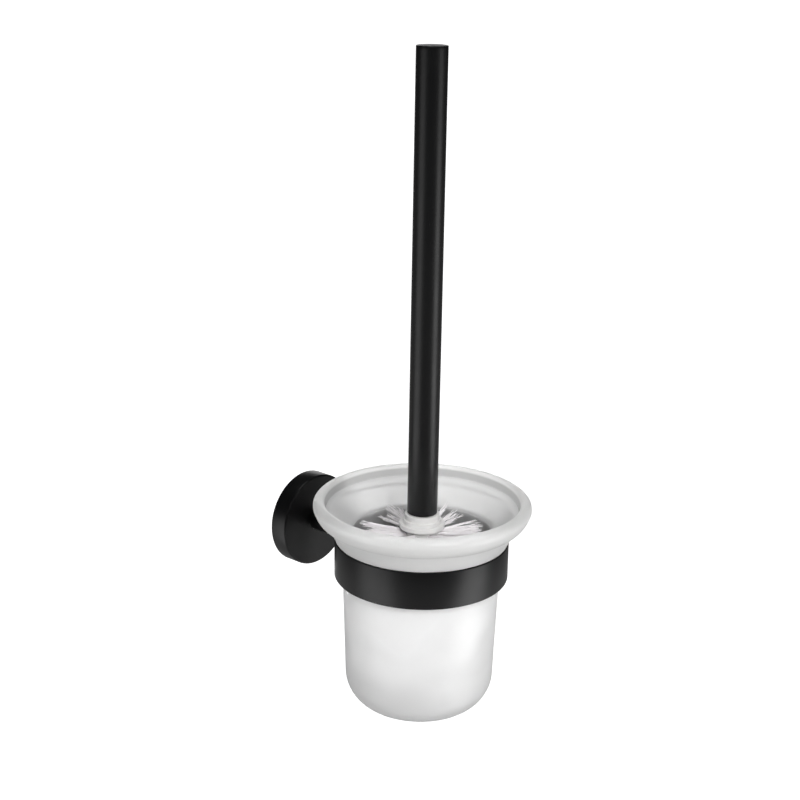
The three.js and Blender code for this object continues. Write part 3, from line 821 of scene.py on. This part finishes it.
# Natural white polypropylene: soft highlights, a warm off-white, and faint flow marks from the mould.
FLOW_MARKS = 4 * MM
moulded, tree = empty_material("moulded_polypropylene")
place = add_node(tree, "ShaderNodeTexCoord")
flow = add_node(
    tree,
    "ShaderNodeTexNoise",
    {"Vector": place.outputs["Object"], "Scale": 1 / FLOW_MARKS, "Detail": 3.0},
)
wax = add_node(
    tree,
    "ShaderNodeMix",
    {0: flow.outputs["Fac"], 6: linear("#d0cfce"), 7: linear("#dedddc")},
    data_type="RGBA",
)
shader = add_node(
    tree,
    "ShaderNodeBsdfPrincipled",
    {
        "Base Color": wax.outputs[2],
        "Roughness": 0.33,
        "IOR": 1.49,
        "Subsurface Weight": 0.1,
        "Subsurface Radius": (1, 0.95, 0.9),
        "Subsurface Scale": 2 * MM,
    },
)
add_node(tree, "ShaderNodeOutputMaterial", {"Surface": shader.outputs[0]})
bm = turned(outline, 64)
bm.transform(Matrix.Translation(BOWL_AXIS))
add_piece("head", bm, "brush_head", moulded, ["brush_hub"])
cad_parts["handle_insert"].data.materials.clear()
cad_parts["handle_insert"].data.materials.append(moulded)

# ---- Bristles ----
# Crimped nylon filaments, folded in bundles and stapled into the core's holes, six tufts to a row. Each tuft
# spreads into a fan, and no two filaments are quite alike.

FILAMENT_RADIUS = 0.19 * MM  # at the root; a real one is a little finer
FILAMENT_SIDES = 4
FILAMENT_CUTS = 4
HEAD_TURN = math.radians(10.6)
TUFTS = 6
HOLE_RADIUS = 1.9 * MM
FAN_HALF = math.radians(16)
FAN_RISE = math.radians(7)
LOCKS = 14  # small bundles that a tuft splits into
FILAMENTS = 8  # in each
GOLDEN_ANGLE = math.radians(137.5)  # from each lock to the next, which spreads them evenly over the hole
TIP_RADIUS = 36 * MM
TOP_LEAN = math.radians(3)
END_LEAN = math.radians(-12)
END_FILAMENTS = 520
ROWS = 8
row_low, row_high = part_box("bristle_row_2")
last_low, last_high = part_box("bristle_row_7")
second_row = (row_low.z + row_high.z) / 2 - RING_TOP
row_pitch = (second_row - ((last_low.z + last_high.z) / 2 - RING_TOP)) / 5

# White nylon: glossy threads, bright along one side, with a hint of pink in their shade.
NYLON_SHADE = 1.5 * MM
nylon, tree = empty_material("white_nylon_filament")
place = add_node(tree, "ShaderNodeTexCoord")
shade = add_node(
    tree,
    "ShaderNodeTexNoise",
    {"Vector": place.outputs["Object"], "Scale": 1 / NYLON_SHADE, "Detail": 2.0},
)
strand = add_node(
    tree,
    "ShaderNodeMix",
    {0: shade.outputs["Fac"], 6: linear("#f6f0f3"), 7: linear("#ffffff")},
    data_type="RGBA",
)
shader = add_node(
    tree,
    "ShaderNodeBsdfPrincipled",
    {"Base Color": strand.outputs[2], "Roughness": 0.35, "IOR": 1.53, "Transmission Weight": 0.05},
)
add_node(tree, "ShaderNodeOutputMaterial", {"Surface": shader.outputs[0]})

bm = bmesh.new()
bmesh.ops.create_cone(
    bm,
    cap_ends=True,
    segments=FILAMENT_SIDES,
    radius1=FILAMENT_RADIUS,
    radius2=0.7 * FILAMENT_RADIUS,
    depth=1,
)
bm.transform(Matrix.Translation((0, 0, 0.5)))
sides = [e for e in bm.edges if abs(e.verts[0].co.z - e.verts[1].co.z) > 0.5]
bmesh.ops.subdivide_edges(bm, edges=sides, cuts=FILAMENT_CUTS, use_grid_fill=True)
filament = bpy.data.meshes.new("filament")
bm.to_mesh(filament)
bm.free()
FILAMENT_POINTS = len(filament.vertices)


def lay_filament(bm, root, tip, sag):
    """Adds one filament from root to tip, bowed sideways by sag in its middle."""
    bm.from_mesh(filament)
    bm.verts.ensure_lookup_table()
    along = tip - root
    turn = along.to_track_quat("Z", "Y").to_matrix()
    for vert in bm.verts[len(bm.verts) - FILAMENT_POINTS :]:
        t = vert.co.z
        across = turn @ Vector((vert.co.x, vert.co.y, 0))
        vert.co = root + along * t + across + sag * (4 * t * (1 - t))


rng = random.Random(7)
for row in range(ROWS):
    height = second_row - row_pitch * (row - 1)
    lean = {0: TOP_LEAN, ROWS - 1: END_LEAN}.get(row, 0)
    bm = bmesh.new()
    for tuft in range(TUFTS):
        middle = HEAD_TURN + (tuft + 0.5 * (row % 2)) * 2 * math.pi / TUFTS
        out = Vector((math.cos(middle), math.sin(middle), 0))
        side = Vector((-out.y, out.x, 0))
        for lock in range(LOCKS):
            spot = HOLE_RADIUS * math.sqrt((lock + 0.5) / LOCKS)
            spin = lock * GOLDEN_ANGLE + rng.uniform(-0.3, 0.3)
            sideways = spot * math.cos(spin)
            upward = spot * math.sin(spin)
            lock_angle = middle + FAN_HALF * (sideways / HOLE_RADIUS + rng.gauss(0, 0.25))
            lock_rise = lean + FAN_RISE * (upward / HOLE_RADIUS + rng.gauss(0, 0.25))
            lock_reach = TIP_RADIUS * rng.uniform(0.84, 0.985)
            for _ in range(FILAMENTS):
                root = out * (CORE_RADIUS - 1 * MM) + Vector((0, 0, height))
                root += side * (sideways + rng.gauss(0, 0.2 * MM))
                root.z += upward + rng.gauss(0, 0.2 * MM)
                angle = lock_angle + rng.gauss(0, math.radians(1.4))
                rise = lock_rise + rng.gauss(0, math.radians(1.6))
                reach = min(lock_reach * rng.uniform(0.86, 1.04), 0.998 * TIP_RADIUS)
                tip = Vector((math.cos(angle), math.sin(angle), 0)) * reach
                tip.z = root.z + (reach - CORE_RADIUS) * math.tan(rise)
                sag = side * rng.gauss(0, 0.3 * MM) + Vector((0, 0, rng.gauss(0, 0.4 * MM)))
                lay_filament(bm, root, tip, sag)
    bm.transform(Matrix.Translation(BOWL_AXIS))
    add_piece(f"tufts_{row + 1}", bm, "brush_head", nylon, [f"bristle_row_{row + 1}"])

end_low, end_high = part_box("bristle_end")
END_RADIUS = (end_high.x - end_low.x) / 2
end_foot = end_low.z - RING_TOP
bm = bmesh.new()
for _ in range(END_FILAMENTS):
    spot = (CORE_RADIUS - 2 * MM) * math.sqrt(rng.random())
    spin = rng.uniform(0, 2 * math.pi)
    out = Vector((math.cos(spin), math.sin(spin), 0))
    root = out * spot + Vector((0, 0, core_foot + 1 * MM))
    spread = spot / (CORE_RADIUS - 2 * MM)
    reach = END_RADIUS * (0.88 * spread + rng.uniform(0, 0.08))
    tip = out * reach
    dome = math.sqrt(max(0, 1 - (reach / END_RADIUS) ** 2))
    tip.z = end_foot + 9 * MM * (1 - dome) + rng.uniform(0, 1.2 * MM)
    sag = out * rng.gauss(0.4 * MM, 0.5 * MM)
    lay_filament(bm, root, tip, sag)
bm.transform(Matrix.Translation(BOWL_AXIS))
add_piece("tufts_end", bm, "brush_head", nylon, ["bristle_end"])
bpy.data.meshes.remove(filament)
